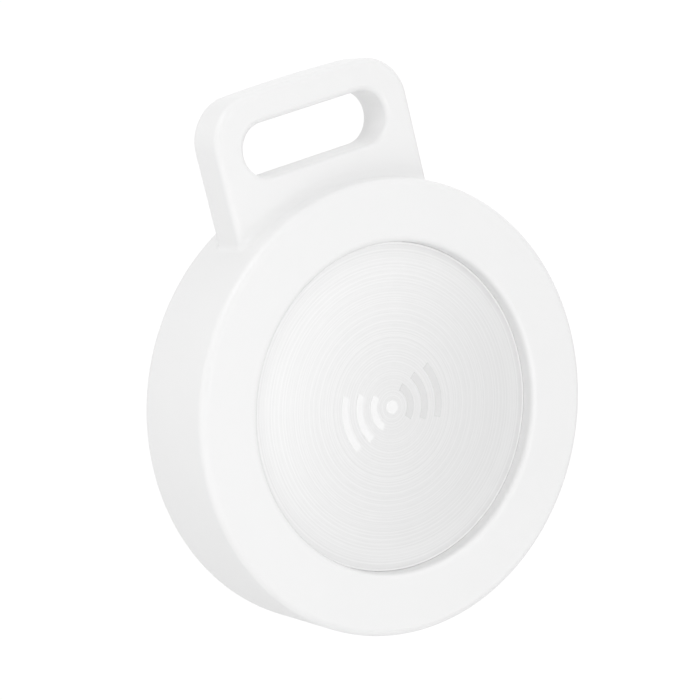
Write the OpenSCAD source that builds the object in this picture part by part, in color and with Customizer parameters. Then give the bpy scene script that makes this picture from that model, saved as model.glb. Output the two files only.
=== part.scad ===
// Round bluetooth tracker tag with a strap slot, drawn as an assembly in millimetres.
// Frame: origin at the centre of the strap slot, +Z up the tag, front face toward -Y.
// Inside each module the tag lies flat: z is the puck axis, +z the front, +y the tab.

/* [Body] */
// Outside diameter of the puck
body_d = 36; // [32:0.5:42]
// Overall thickness of the puck, front rim to rear rim
body_t = 8.8; // [8:0.1:11]
// Radius of the rounded outer edge at the front
front_round = 0.6; // [0.2:0.05:1.2]
// Radius of the rounded outer edge at the rear
rear_round = 0.5; // [0.2:0.05:0.9]
// Diameter of the round opening in the front face
opening_d = 26; // [22:0.5:28]
// Radius of the rounded edge of that opening
opening_round = 0.5; // [0.1:0.05:0.6]

/* [Strap tab] */
// Width of the tab across its parallel sides
tab_w = 18; // [14:0.5:24]
// Height of the tab top above the puck centre
tab_top = 26.8; // [24:0.1:32]
// Thickness of the tab, centred on the puck
tab_t = 3.6; // [2.4:0.1:5]
// Corner radius of the tab seen from the front
tab_corner = 3.6; // [2:0.1:5]
// Radius rounding the edges of the tab
tab_round = 0.48; // [0.2:0.02:0.8]
// Radius of the hollow blend between tab and puck
blend_r = 0.8; // [0.3:0.1:1.5]
// Length of the strap slot
slot_len = 13.4; // [8:0.1:14]
// Width of the strap slot
slot_w = 4.2; // [3:0.1:5]
// Height of the slot centre above the puck centre
slot_h = 22.25; // [21:0.05:26]
// Chamfer around both mouths of the slot
slot_chamfer = 0.22; // [0.05:0.01:0.4]

/* [Button] */
// Depth of the button face below the front rim
button_depth = 1.25; // [0.6:0.05:1.6]
// Thickness of the spun metal button cap
button_t = 0.8; // [0.5:0.05:1]
// Radial gap between the button cap and the opening
button_gap = 0.05; // [0.03:0.01:0.1]
// How far the button goes in when pressed
button_travel = 0.25; // [0.1:0.05:0.3]

/* [Coin cell] */
// Diameter of the coin cell
cell_d = 20; // [20:0.1:20]
// Height of the coin cell
cell_t = 3.2; // [2.5:0.7:3.2]

/* [Rear cover] */
// Thickness of the rear cover plate
cover_t = 1; // [0.8:0.1:1.2]
// Radial gap around the rear cover plate
cover_gap = 0.1; // [0.04:0.01:0.15]
// Width of the pry notch in the rear rim
notch_w = 6; // [4:0.5:9]

/* [Hidden] */
$fn = 96;
eps = 0.02;

// Radii and heights of the puck
body_r = body_d / 2;
z_front = body_t / 2;
z_rear = -body_t / 2;
opening_r = opening_d / 2;
cavity_r = 15.6;
recess_r = 16.4;
ledge_z = 2.55;
cover_in_z = z_rear + cover_t;

// Button stack
button_face_z = z_front - button_depth;
button_under_z = button_face_z - button_t;
button_r = opening_r - button_gap;
flange_r = 13.9;
flange_in_r = 11.9;
flange_top_z = 2.5;
flange_low_z = 1.95;
boss_touch_r = 1.5;

// Board and fixings
board_top_z = 1.1;
board_t = 0.6;
board_low_z = board_top_z - board_t;
board_r = 15.4;
boss_r = 1.1;
boss_ring_r = 14.2;
boss_angles = [30, 150, 270];
pilot_r = 0.66;
shank_r = 0.64;
screw_tip_z = 2.7;
pilot_end_z = 2.95;
head_r = 1.1;
head_t = 0.6;
lug_t = 0.6;
lug_low_z = board_low_z - lug_t;

// Tactile switch under the middle of the button
switch_w = 4;
switch_t = 0.55;
switch_top_z = board_top_z + switch_t;
stem_r = 0.9;
stem_top_z = switch_top_z + button_travel + 0.05;
stem_low_z = 1.45;
switch_floor_z = board_top_z + 0.05;

// Coin cell, negative face toward the board
cell_r = cell_d / 2;
cell_neg_z = 0.05;
cell_pos_z = cell_neg_z - cell_t;
can_wall = 0.25;
cap_wall = 0.3;
cap_r = cell_r - 1.1;
rim_low = 0.15;
stack_r = cap_r - 0.55;
cathode_t = 1.2;
separator_t = 0.1;

// Battery tray and contacts
tray_in_r = 10.2;
tray_out_r = 10.9;
tray_low_z = -2.9;
contact_angle = 210;
contact_w = 3;
strip_t = 0.12;

// Buzzer on the rear of the board
buzzer_angle = 330;
buzzer_ring_r = 13.1;
buzzer_w = 4;
buzzer_t = 1.8;

// Rear cover
cover_r = recess_r - cover_gap;
skirt_out_r = 15.5;
skirt_in_r = 14.6;
skirt_low_z = -1.9;
seal_r = 0.24;
seal_ring_r = 15.34;
seal_z = -2.6;

// Colours by material
white_plastic = [0.95, 0.95, 0.95];
spun_metal = [0.90, 0.90, 0.91];
silicone = [0.75, 0.76, 0.78];
board_green = [0.10, 0.35, 0.20];
chip_black = [0.10, 0.10, 0.11];
steel = [0.72, 0.72, 0.74];
brass = [0.82, 0.68, 0.35];
ceramic_tan = [0.78, 0.70, 0.55];

// Stands the flat drawing up: front toward -Y, slot centre at the origin.
module stand() {
    translate([0, 0, -slot_h])
        rotate([90, 0, 0])
            children();
}

// Square-cornered leftover outside a quarter circle, used to round a profile.
module corner_cut(r) {
    difference() {
        square(r + eps);
        circle(r);
    }
}

// Profile in the (radius, z) plane revolved about the puck axis.
module ring(r_in, r_out, z_low, z_high) {
    rotate_extrude()
        translate([r_in, z_low])
            square([r_out - r_in, z_high - z_low]);
}

// Children copied to each screw boss position.
module at_bosses() {
    for (a = boss_angles)
        rotate([0, 0, a])
            translate([boss_ring_r, 0, 0])
                children();
}

// Box centred in x and y, from z_low up by h.
module pad(x, y, z_low, h) {
    translate([-x / 2, -y / 2, z_low])
        cube([x, y, h]);
}

module housing_profile() {
    difference() {
        union() {
            translate([opening_r, ledge_z])
                square([body_r - opening_r, z_front - ledge_z]);
            translate([cavity_r, cover_in_z])
                square([body_r - cavity_r, z_front - cover_in_z]);
            translate([recess_r, z_rear])
                square([body_r - recess_r, z_front - z_rear]);
        }
        translate([body_r - front_round, z_front - front_round])
            corner_cut(front_round);
        translate([body_r - rear_round, z_rear + rear_round])
            mirror([0, 1])
                corner_cut(rear_round);
        translate([opening_r + opening_round, z_front - opening_round])
            mirror([1, 0])
                corner_cut(opening_round);
    }
}

// Half section of the tab plate, rounded where u reaches its outer end.
module tab_section(u_out) {
    difference() {
        translate([0, -tab_t / 2])
            square([u_out, tab_t]);
        translate([u_out - tab_round, tab_t / 2 - tab_round])
            corner_cut(tab_round);
        translate([u_out - tab_round, tab_round - tab_t / 2])
            mirror([0, 1])
                corner_cut(tab_round);
    }
}

module tab_plate() {
    corner_x = tab_w / 2 - tab_corner;
    corner_y = tab_top - tab_corner;
    foot_y = 12.2;
    for (side = [0, 1])
        mirror([side, 0, 0]) {
            // Straight side from the puck up to the corner
            translate([0, corner_y, 0])
                rotate([90, 0, 0])
                    linear_extrude(height = corner_y - foot_y)
                        tab_section(tab_w / 2);
            // Quarter turn of the same section around the corner
            translate([corner_x, corner_y, 0])
                rotate_extrude(angle = 90)
                    tab_section(tab_corner);
        }
    // Top edge between the two corners
    translate([-corner_x, corner_y, 0])
        rotate([90, 0, 90])
            linear_extrude(height = 2 * corner_x)
                tab_section(tab_corner);
}

// Hollow blend on both faces of the tab where it meets the round wall.
module tab_blend() {
    centre_off = blend_r + 0.02;
    cut_r = blend_r + 0.03;
    intersection() {
        rotate_extrude()
            difference() {
                translate([body_r - 1, -tab_t / 2 - blend_r])
                    square([1 + blend_r, tab_t + 2 * blend_r]);
                for (side = [-1, 1])
                    translate([body_r + centre_off, side * (tab_t / 2 + centre_off)])
                        circle(cut_r);
            }
        translate([-tab_w / 2 + tab_round, 0, -z_front])
            cube([tab_w - 2 * tab_round, tab_top, body_t]);
    }
}

// Stadium-shaped hole with a chamfer at each mouth.
module strap_slot() {
    half = slot_len / 2 - slot_w / 2;
    reach = tab_t / 2 + 1;
    mouth_r = slot_w / 2 + slot_chamfer + 1;
    translate([0, slot_h, 0]) {
        translate([-half, -slot_w / 2, -reach])
            cube([2 * half, slot_w, 2 * reach]);
        for (side = [-1, 1])
            translate([side * half, 0, -reach])
                cylinder(h = 2 * reach, r = slot_w / 2);
        for (face = [0, 1])
            mirror([0, 0, face]) {
                for (side = [-1, 1])
                    translate([side * half, 0, tab_t / 2 - slot_chamfer])
                        cylinder(h = 1 + slot_chamfer, r1 = slot_w / 2, r2 = mouth_r);
                translate([-half, 0, tab_t / 2 - slot_chamfer])
                    rotate([90, 0, 90])
                        linear_extrude(height = 2 * half)
                            polygon([[-slot_w / 2, 0], [slot_w / 2, 0],
                                [mouth_r, 1 + slot_chamfer], [-mouth_r, 1 + slot_chamfer]]);
            }
    }
}

module front_housing() {
    color(white_plastic)
        stand()
            difference() {
                union() {
                    rotate_extrude()
                        housing_profile();
                    difference() {
                        union() {
                            tab_plate();
                            tab_blend();
                        }
                        translate([0, 0, z_rear - 1])
                            cylinder(h = body_t + 2, r = body_r - 0.6);
                    }
                    at_bosses()
                        translate([0, 0, board_top_z])
                            cylinder(h = ledge_z + eps - board_top_z, r = boss_r);
                }
                strap_slot();
                at_bosses()
                    translate([0, 0, 0])
                        cylinder(h = pilot_end_z, r = pilot_r);
                // Notch in the rear rim for prying the cover off
                translate([-notch_w / 2, -body_r - 1, z_rear - 1])
                    cube([notch_w, body_r + 1 - cover_r, 1 + cover_t * 0.7]);
            }
}

module button_cap() {
    notch_r = boss_r + 0.2;
    edge_round = 0.07;
    color(spun_metal)
        stand()
            difference() {
                union() {
                    rotate_extrude()
                        difference() {
                            union() {
                                translate([0, button_under_z])
                                    square([button_r, button_t]);
                                translate([flange_in_r, flange_low_z])
                                    square([flange_r - flange_in_r, flange_top_z - flange_low_z]);
                            }
                            translate([button_r - edge_round, button_face_z - edge_round])
                                corner_cut(edge_round);
                        }
                    translate([0, 0, stem_top_z])
                        cylinder(h = button_under_z + eps - stem_top_z, r = boss_touch_r);
                }
                at_bosses()
                    translate([0, 0, flange_low_z - 1])
                        cylinder(h = flange_top_z + 1.01 - flange_low_z, r = notch_r);
            }
}

// Soft ring between the button flange and the board: return spring and splash seal.
module button_ring() {
    color(silicone)
        stand()
            ring(flange_in_r + 0.1, flange_in_r + 0.8, board_top_z, flange_low_z);
}

module switch_base() {
    wall_top_z = switch_top_z - 0.1;
    color(chip_black)
        stand()
            difference() {
                pad(switch_w, switch_w, board_top_z, wall_top_z - board_top_z);
                translate([0, 0, switch_floor_z])
                    cylinder(h = 1, r = 1.5);
            }
}

module switch_frame() {
    color(steel)
        stand()
            difference() {
                pad(switch_w, switch_w, switch_top_z - 0.1, 0.1);
                translate([0, 0, board_top_z])
                    cylinder(h = 1, r = stem_r + 0.08);
            }
}

module switch_dome() {
    dome_rise = stem_low_z - switch_floor_z;
    dome_half = 1.3;
    dome_t = 0.05;
    dome_r = (dome_half * dome_half + dome_rise * dome_rise) / (2 * dome_rise);
    color(steel)
        stand()
            intersection() {
                translate([0, 0, stem_low_z - dome_r])
                    difference() {
                        sphere(dome_r);
                        sphere(dome_r - dome_t);
                    }
                translate([0, 0, stem_low_z - dome_rise])
                    cylinder(h = dome_rise + 1, r = dome_half);
            }
}

module switch_stem() {
    foot_t = 0.06;
    color(chip_black)
        stand() {
            translate([0, 0, stem_low_z])
                cylinder(h = stem_top_z - stem_low_z, r = stem_r);
            translate([0, 0, stem_low_z])
                cylinder(h = foot_t, r = stem_r + 0.25);
        }
}

module circuit_board() {
    color(board_green)
        stand()
            difference() {
                translate([0, 0, board_low_z])
                    cylinder(h = board_t, r = board_r);
                at_bosses()
                    translate([0, 0, board_low_z - 1])
                        cylinder(h = board_t + 2, r = shank_r + 0.16);
                // Two moulding-key notches in the board edge
                for (a = [90, 210])
                    rotate([0, 0, a])
                        translate([board_r, 0, board_low_z - 1])
                            cylinder(h = board_t + 2, r = 0.6);
            }
}

// Front-side component standing on the board at (x, y).
module on_front(x, y, turn) {
    translate([x, y, board_top_z])
        rotate([0, 0, turn])
            children();
}

module radio_chip() {
    color(chip_black)
        stand()
            on_front(-5.2, 2.4, 0)
                difference() {
                    pad(5, 5, 0, 0.75);
                    translate([-1.9, 1.9, 0.7])
                        cylinder(h = 1, r = 0.25);
                }
}

module main_crystal() {
    color(steel)
        stand()
            on_front(-4.6, 7.4, 90) {
                pad(1.6, 2, 0, 0.3);
                pad(1.4, 1.8, 0.3, 0.2);
            }
}

module clock_crystal() {
    color(steel)
        stand()
            on_front(-9.3, 3.4, 0) {
                pad(1.2, 2, 0, 0.3);
                pad(1.05, 1.85, 0.3, 0.2);
            }
}

module motion_sensor() {
    color(chip_black)
        stand()
            on_front(5.6, 4.6, 0)
                pad(2, 2, 0, 0.7);
}

module flash_chip() {
    color(chip_black)
        stand()
            on_front(5.8, -3.6, 0)
                pad(3, 2, 0, 0.55);
}

// Two-terminal component: body and two end caps.
module two_terminal(len, wid, tall) {
    pad(len, wid, 0, tall);
}

capacitor_spots = [[-8.6, 0.2, 90], [-7.2, -1.6, 0], [-5.2, -1.6, 0], [-3.2, -1.6, 0],
    [-1.2, 6.4, 90], [0.4, 6.4, 90], [4, 7.6, 0], [7.4, 2.2, 90]];

module capacitors() {
    color(ceramic_tan)
        stand() {
            for (s = capacitor_spots)
                on_front(s[0], s[1], s[2])
                    two_terminal(1, 0.5, 0.5);
            // Reservoir capacitor that carries the radio through its current peaks
            on_front(3.2, -7.4, 0)
                two_terminal(3.2, 2.5, 0.85);
        }
}

resistor_spots = [[7.6, 6, 0], [7.6, 7.2, 0], [8.6, -1, 90], [-4, -4.4, 0], [-6, -4.4, 0],
    [-1.6, -7, 90]];

module resistors() {
    color(chip_black)
        stand()
            for (s = resistor_spots)
                on_front(s[0], s[1], s[2])
                    two_terminal(1, 0.5, 0.35);
}

module inductor() {
    color(chip_black)
        stand()
            on_front(-6.6, -7, 0)
                pad(2, 1.6, 0, 0.8);
}

module chip_antenna() {
    color(ceramic_tan)
        stand()
            translate([0, 13.1, 0])
                pad(5.2, 2, board_low_z - 1.1, 1.1);
}

// Frame of the buzzer: x outward from the puck axis.
module at_buzzer() {
    rotate([0, 0, buzzer_angle])
        translate([buzzer_ring_r, 0, board_low_z])
            children();
}

module buzzer_case() {
    color(chip_black)
        stand()
            at_buzzer()
                difference() {
                    pad(buzzer_w, buzzer_w, -buzzer_t, buzzer_t - 0.1);
                    translate([0, 0, -buzzer_t + 0.3])
                        cylinder(h = buzzer_t, r = 1.7);
                    translate([0, 0, -buzzer_t - 1])
                        cylinder(h = 2, r = 0.45);
                }
}

module buzzer_membrane() {
    color(steel)
        stand()
            at_buzzer()
                translate([0, 0, -buzzer_t + 0.8])
                    cylinder(h = 0.08, r = 1.7);
}

module buzzer_terminals() {
    color(brass)
        stand()
            at_buzzer()
                for (side = [-1, 1])
                    translate([0, side * 1.5, 0])
                        pad(3.2, 0.8, -0.1, 0.1);
}

// Bent strip standing on the board and springing inward onto the side of the cell.
module positive_contact() {
    touch_r = cell_r + 0.02;
    base_out = 3.1;
    top_z = board_low_z - strip_t;
    tip_z = -2.6;
    color(brass)
        stand()
            rotate([0, 0, contact_angle])
                translate([0, contact_w / 2, 0])
                    rotate([90, 0, 0])
                        linear_extrude(height = contact_w)
                            polygon([
                                [touch_r + base_out, board_low_z],
                                [touch_r + 1, board_low_z],
                                [touch_r + 0.8, board_low_z - 0.2],
                                [touch_r + 0.6, -0.9],
                                [touch_r, -1.6],
                                [touch_r, -1.9],
                                [touch_r + 0.5, tip_z],
                                [touch_r + 0.62, tip_z],
                                [touch_r + strip_t, -1.88],
                                [touch_r + strip_t, -1.65],
                                [touch_r + 0.72, -0.95],
                                [touch_r + 0.92, board_low_z - 0.24],
                                [touch_r + 1.05, top_z],
                                [touch_r + base_out, top_z]]);
}

// Two leaf springs soldered to the board and arching onto the negative face.
module negative_contact() {
    leaf_w = 1.6;
    touch_z = cell_neg_z + 0.01;
    top_z = board_low_z;
    color(brass)
        stand() {
            pad(2.4, 5.6, top_z - strip_t, strip_t);
            for (side = [-1, 1])
                for (turn = [0, 180])
                    rotate([0, 0, turn])
                        translate([1.1, side * 1.8 + leaf_w / 2, 0])
                            rotate([90, 0, 0])
                                linear_extrude(height = leaf_w)
                                    polygon([[0, top_z], [0, top_z - strip_t],
                                        [3.4, touch_z], [4, touch_z],
                                        [5, touch_z + 0.12], [5, touch_z + 0.24],
                                        [3.9, touch_z + strip_t], [3.45, touch_z + strip_t],
                                        [0.2, top_z]]);
        }
}

module board_film() {
    film_t = 0.06;
    color([0.85, 0.75, 0.30])
        stand()
            difference() {
                translate([0, 0, board_low_z - film_t])
                    cylinder(h = film_t, r = 9.6);
                translate([0, 0, board_low_z - 1])
                    pad(13, 6.4, 0, 2);
            }
}

module battery_tray() {
    window_w = contact_w + 0.8;
    lug_r = 1.25;
    color([0.20, 0.20, 0.22])
        stand()
            difference() {
                union() {
                    ring(tray_in_r, tray_out_r, tray_low_z, board_low_z);
                    for (a = boss_angles)
                        rotate([0, 0, a]) {
                            translate([boss_ring_r, 0, lug_low_z])
                                cylinder(h = lug_t, r = lug_r);
                            translate([tray_in_r + 0.3, -lug_r, lug_low_z])
                                cube([boss_ring_r - tray_in_r - 0.3, 2 * lug_r, lug_t]);
                        }
                }
                at_bosses()
                    translate([0, 0, lug_low_z - 1])
                        cylinder(h = lug_t + 2, r = shank_r + 0.12);
                // Window for the side contact
                rotate([0, 0, contact_angle])
                    translate([tray_in_r - 1, -window_w / 2, tray_low_z - 1])
                        cube([3, window_w, board_low_z - tray_low_z + 2]);
                // Two finger reliefs for tipping the cell out
                for (a = [90, 330])
                    rotate([0, 0, a])
                        translate([tray_in_r - 1, -2.5, tray_low_z - 1])
                            cube([3, 5, 2.2]);
            }
}

module tray_screws() {
    drive_r = 0.5;
    color(steel)
        stand()
            at_bosses()
                difference() {
                    union() {
                        translate([0, 0, lug_low_z - head_t])
                            cylinder(h = head_t, r = head_r);
                        translate([0, 0, lug_low_z - eps])
                            cylinder(h = screw_tip_z - lug_low_z, r = shank_r);
                    }
                    // Cross recess
                    for (turn = [0, 90])
                        rotate([0, 0, turn])
                            pad(2 * drive_r, 0.22, lug_low_z - head_t - 1, 1.3);
                }
}

// Steel can: flat positive face toward the rear cover, side wall and rolled lip.
module cell_can() {
    lip_in = 0.9;
    edge = 0.3;
    color(steel)
        stand()
            rotate_extrude()
                difference() {
                    union() {
                        translate([0, cell_pos_z])
                            square([cell_r, can_wall]);
                        translate([cell_r - can_wall, cell_pos_z])
                            square([can_wall, cell_t - rim_low]);
                        translate([cell_r - lip_in, cell_neg_z - rim_low - can_wall])
                            square([lip_in, can_wall]);
                    }
                    translate([cell_r - edge, cell_pos_z + edge])
                        mirror([0, 1])
                            corner_cut(edge);
                    translate([cell_r - edge, cell_neg_z - rim_low - edge])
                        corner_cut(edge);
                }
}

// Plastic seal that parts the can from the cap, with a foot under the cap rim.
module cell_gasket() {
    lip_in_r = cell_r - 0.9;
    wall_in_r = cell_r - can_wall;
    foot_top_z = cell_pos_z + 1;
    color(chip_black)
        stand()
            rotate_extrude() {
                translate([stack_r + 0.05, cell_pos_z + can_wall])
                    square([wall_in_r - stack_r - 0.05, foot_top_z - cell_pos_z - can_wall]);
                translate([cap_r, foot_top_z])
                    square([wall_in_r - cap_r, cell_neg_z - rim_low - can_wall - foot_top_z]);
                translate([cap_r, foot_top_z])
                    square([lip_in_r - cap_r, cell_neg_z - rim_low - foot_top_z]);
            }
}

module cell_cap() {
    edge = 0.2;
    rim_z = cell_pos_z + 1;
    color([0.66, 0.67, 0.69])
        stand()
            rotate_extrude()
                difference() {
                    translate([0, rim_z])
                        square([cap_r, cell_neg_z - rim_z]);
                    translate([cap_r - edge, cell_neg_z - edge])
                        corner_cut(edge);
                    // Hollow over the electrode stack
                    translate([0, rim_z - 1])
                        square([cap_r - cap_wall, cell_neg_z - cap_wall - rim_z + 1]);
                }
}

module cell_cathode() {
    color(chip_black)
        stand()
            translate([0, 0, cell_pos_z + can_wall])
                cylinder(h = cathode_t, r = stack_r);
}

module cell_separator() {
    color(white_plastic)
        stand()
            translate([0, 0, cell_pos_z + can_wall + cathode_t])
                cylinder(h = separator_t, r = stack_r);
}

module cell_anode() {
    low_z = cell_pos_z + can_wall + cathode_t + separator_t;
    color(spun_metal)
        stand()
            translate([0, 0, low_z])
                cylinder(h = cell_neg_z - cap_wall - low_z, r = stack_r);
}

// Soft pad on the cover that keeps the cell pressed toward its contacts.
module foam_pad() {
    color([0.25, 0.25, 0.27])
        stand()
            translate([0, 0, cover_in_z])
                cylinder(h = cell_pos_z - cover_in_z, r = 5);
}

module cover_seal() {
    color(silicone)
        stand()
            rotate_extrude()
                translate([seal_ring_r, seal_z])
                    circle(seal_r, $fn = 48);
}

module rear_cover() {
    edge = 0.15;
    groove_floor_r = seal_ring_r - seal_r;
    color(white_plastic)
        stand()
            rotate_extrude()
                difference() {
                    union() {
                        translate([0, z_rear])
                            square([cover_r, cover_t]);
                        translate([skirt_in_r, z_rear])
                            square([skirt_out_r - skirt_in_r, skirt_low_z - z_rear]);
                    }
                    translate([cover_r - edge, z_rear + edge])
                        mirror([0, 1])
                            corner_cut(edge);
                    // Groove that carries the seal ring
                    translate([groove_floor_r, seal_z - seal_r - 0.08])
                        square([1, 2 * seal_r + 0.16]);
                }
}

front_housing();
button_cap();
button_ring();
switch_base();
switch_frame();
switch_dome();
switch_stem();
circuit_board();
radio_chip();
main_crystal();
clock_crystal();
motion_sensor();
flash_chip();
capacitors();
resistors();
inductor();
chip_antenna();
buzzer_case();
buzzer_membrane();
buzzer_terminals();
positive_contact();
negative_contact();
board_film();
battery_tray();
tray_screws();
cell_can();
cell_gasket();
cell_cap();
cell_cathode();
cell_separator();
cell_anode();
foam_pad();
cover_seal();
rear_cover();
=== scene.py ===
"""Round bluetooth tracker tag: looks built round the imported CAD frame."""

import math

import bmesh
import bpy
import numpy as np
from mathutils import Matrix, Vector


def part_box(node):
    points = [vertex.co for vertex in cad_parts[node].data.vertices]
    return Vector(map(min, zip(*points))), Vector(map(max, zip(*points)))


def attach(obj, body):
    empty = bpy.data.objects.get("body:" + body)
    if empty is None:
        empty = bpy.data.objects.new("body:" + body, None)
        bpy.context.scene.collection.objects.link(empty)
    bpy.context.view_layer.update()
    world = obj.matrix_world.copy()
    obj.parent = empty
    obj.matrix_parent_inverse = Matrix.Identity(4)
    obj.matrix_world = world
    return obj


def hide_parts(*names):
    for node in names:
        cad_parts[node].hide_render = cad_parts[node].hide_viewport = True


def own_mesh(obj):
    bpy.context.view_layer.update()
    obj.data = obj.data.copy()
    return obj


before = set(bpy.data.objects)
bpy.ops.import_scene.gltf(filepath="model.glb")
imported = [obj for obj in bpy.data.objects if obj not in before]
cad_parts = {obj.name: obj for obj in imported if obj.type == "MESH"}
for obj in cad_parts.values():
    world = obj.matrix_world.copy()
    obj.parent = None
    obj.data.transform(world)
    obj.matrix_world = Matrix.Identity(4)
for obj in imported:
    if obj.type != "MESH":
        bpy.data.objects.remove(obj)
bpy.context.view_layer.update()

# ---------------------------------------------------------------- sizes, in millimetres
lo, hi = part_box("front_housing")
BODY_R = (hi.x - lo.x) * 500
CENTRE_Z = lo.z * 1000 + BODY_R
TAB_TOP = hi.z * 1000 - CENTRE_Z
SLOT_H = -CENTRE_Z
Z_FRONT = -lo.y * 1000
Z_REAR = -hi.y * 1000
cap_lo, cap_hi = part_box("button_cap")
BUTTON_Z = -cap_lo.y * 1000
CAP_LOW_Z = -cap_hi.y * 1000
FLANGE_R = (cap_hi.x - cap_lo.x) * 500
cov_lo, cov_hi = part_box("rear_cover")
COVER_R = (cov_hi.x - cov_lo.x) * 500
SKIRT_LOW_Z = -cov_lo.y * 1000
# Front opening: its radius, the gap round the button, the ledge over the button's flange
OPENING_R = 13.0
BUTTON_GAP = 0.01
LEDGE_Z = 2.55
# Hollow of the housing and the recess for the rear cover
CAVITY_R = 15.6
RECESS_R = COVER_R + 0.1
COVER_IN_Z = Z_REAR + 1.0
# Strap tab: half width, half thickness, edge rounding, corners, radius of the crowned top, blend at its root
TAB_HALF = 9.0
TAB_H = 1.8
TAB_E = 0.48
TAB_RC = 3.6
TAB_ARC = 139.0
ROOT_R = 0.85
# Strap slot: half length, half width, rounding of its mouths
SLOT_L = 6.7
SLOT_W = 2.1
SLOT_E = 0.42
# Screw bosses: distance from the puck axis and angles
BOSS_RING = 14.2
BOSSES = (30.0, 150.0, 270.0)
# Height of the cover's seal
SEAL_Z = -2.6
# Two faces of the circuit board
BOARD_FRONT = 1.10
BOARD_BACK = 0.5
# Height on which the switch's snap dome stands
DOME_FOOT = BOARD_FRONT + 0.05


def polar(r, degrees, cx=0.0, cy=0.0):
    """The point at distance r and this angle from (cx, cy)."""
    a = math.radians(degrees)
    return cx + r * math.cos(a), cy + r * math.sin(a)


def around(n):
    """n angles in radians, evenly round a circle."""
    return np.linspace(0, 2 * np.pi, n + 1)[:-1]


def clear_of(angle, places):
    """Degrees from this angle to the nearest of these places round the circle."""
    return min(abs((angle - place + 180) % 360 - 180) for place in places)


def circle(r, n, cx=0.0, cy=0.0):
    """n points evenly round a circle."""
    return [(cx + r * math.cos(a), cy + r * math.sin(a)) for a in around(n)]


def row(points):
    """Millimetres in the flat tag frame (x, y up the tag, z to the front) to metres in the row frame."""
    p = np.asarray(points, float)
    return np.stack([p[..., 0], -p[..., 2], p[..., 1] + CENTRE_Z], -1) * 0.001


# ---------------------------------------------------------------- mesh building
def add_object(name, data):
    """A new object of this mesh, light or camera, in the scene."""
    ob = bpy.data.objects.new(name, data)
    bpy.context.scene.collection.objects.link(ob)
    return ob


class Shell:
    """Collects grids and faces in flat-tag millimetres, welds them, and makes one object."""

    def __init__(self):
        self.v = []
        self.f = []
        self.m = []
        self.n = 0

    def add(self, verts, faces, mat=0):
        verts = np.asarray(verts, float).reshape(-1, 3)
        self.v.append(verts)
        for f in faces:
            self.f.append([i + self.n for i in f])
            self.m.append(mat)
        self.n += len(verts)

    def grid(self, p, wrap_u=False, wrap_v=False, mat=0):
        p = np.asarray(p, float)
        nu, nv = p.shape[:2]
        faces = []
        for i in range(nu if wrap_u else nu - 1):
            i2 = (i + 1) % nu
            for j in range(nv if wrap_v else nv - 1):
                j2 = (j + 1) % nv
                faces.append((i * nv + j, i2 * nv + j, i2 * nv + j2, i * nv + j2))
        self.add(p, faces, mat)

    def sweep(self, p, mat=0):
        """A closed section along a path, capped at both ends."""
        self.grid(p, wrap_v=True, mat=mat)
        for end in (p[0], p[-1]):
            self.add(end, [tuple(range(len(end)))], mat)

    def ring(self, section, steps=192, closed=True):
        """Revolves a (radius, z) section about the puck axis; an open section starts and ends on it."""
        s = np.asarray(section, float)
        a = around(steps)[:, None]
        p = np.stack([s[None, :, 0] * np.cos(a), s[None, :, 0] * np.sin(a),
                      np.broadcast_to(s[None, :, 1], (steps, len(s)))], -1)
        self.grid(p, wrap_u=True, wrap_v=closed)

    def slab(self, outline, z0, z1, edge=0.03, mat=0):
        """Extrudes a convex outline from z0 to z1 with a small bevel at the top."""
        o = np.asarray(outline, float)
        c = o.mean(0)
        n = len(o)
        inset = o + (c - o) * (edge / np.maximum(np.linalg.norm(o - c, axis=1), 1e-6))[:, None]
        s = 1 if z1 > z0 else -1
        layers = [(o, z0), (o, z1 - s * edge), (inset, z1)]
        p = np.array([[[x, y, z] for x, y in q] for q, z in layers])
        self.grid(p, wrap_v=True, mat=mat)
        self.add([[x, y, z1] for x, y in inset], [tuple(range(n))], mat)
        self.add([[x, y, z0] for x, y in o], [tuple(range(n))[::-1]], mat)

    def object(self, name, mats, sharp=32.0):
        v = row(np.concatenate(self.v))
        key = np.round(v * 1e7).astype(np.int64)
        first, inv = np.unique(key, axis=0, return_index=True, return_inverse=True)[1:]
        inv = inv.reshape(-1)
        faces = []
        fm = []
        for f, m in zip(self.f, self.m):
            g = [int(inv[i]) for i in f]
            g = [a for a, b in zip(g, g[-1:] + g[:-1]) if a != b]
            if len(set(g)) >= 3 and len(set(g)) == len(g):
                faces.append(g)
                fm.append(m)
        me = bpy.data.meshes.new(name)
        me.from_pydata([tuple(c) for c in v[first]], [], faces)
        me.polygons.foreach_set("material_index", fm)
        bm = bmesh.new()
        bm.from_mesh(me)
        bmesh.ops.recalc_face_normals(bm, faces=bm.faces)
        bad = sum(1 for e in bm.edges if len(e.link_faces) != 2)
        if bad:
            print("OPEN EDGES", name, bad)
        bm.to_mesh(me)
        bm.free()
        me.polygons.foreach_set("use_smooth", [True] * len(me.polygons))
        me.set_sharp_from_angle(angle=math.radians(sharp))
        for m in mats:
            me.materials.append(m)
        return add_object(name, me)


def arc(cx, cy, r, a0, a1, n):
    """Points on an arc in degrees, both ends included."""
    return [polar(r, a, cx, cy) for a in np.linspace(a0, a1, n + 1)]


def line(p, q, n=1, guard=0.05):
    """Points from p to q with a guard point near both ends, which keeps flats flat in shading."""
    p, q = np.array(p, float), np.array(q, float)
    length = np.linalg.norm(q - p)
    if length < 4 * guard:
        return [tuple(p), tuple(q)]
    g = guard / length
    ts = [0, g] + list(np.linspace(g, 1 - g, n + 1))[1:-1] + [1 - g, 1]
    return [tuple(p + (q - p) * t) for t in ts]


def chain(*parts):
    """Joins runs of points into one, leaving out repeated points."""
    out = []
    for part in parts:
        for p in part:
            if not out or math.dist(out[-1], p) > 1e-6:
                out.append(tuple(p))
    if math.dist(out[0], out[-1]) < 1e-6:
        out.pop()
    return out


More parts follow.
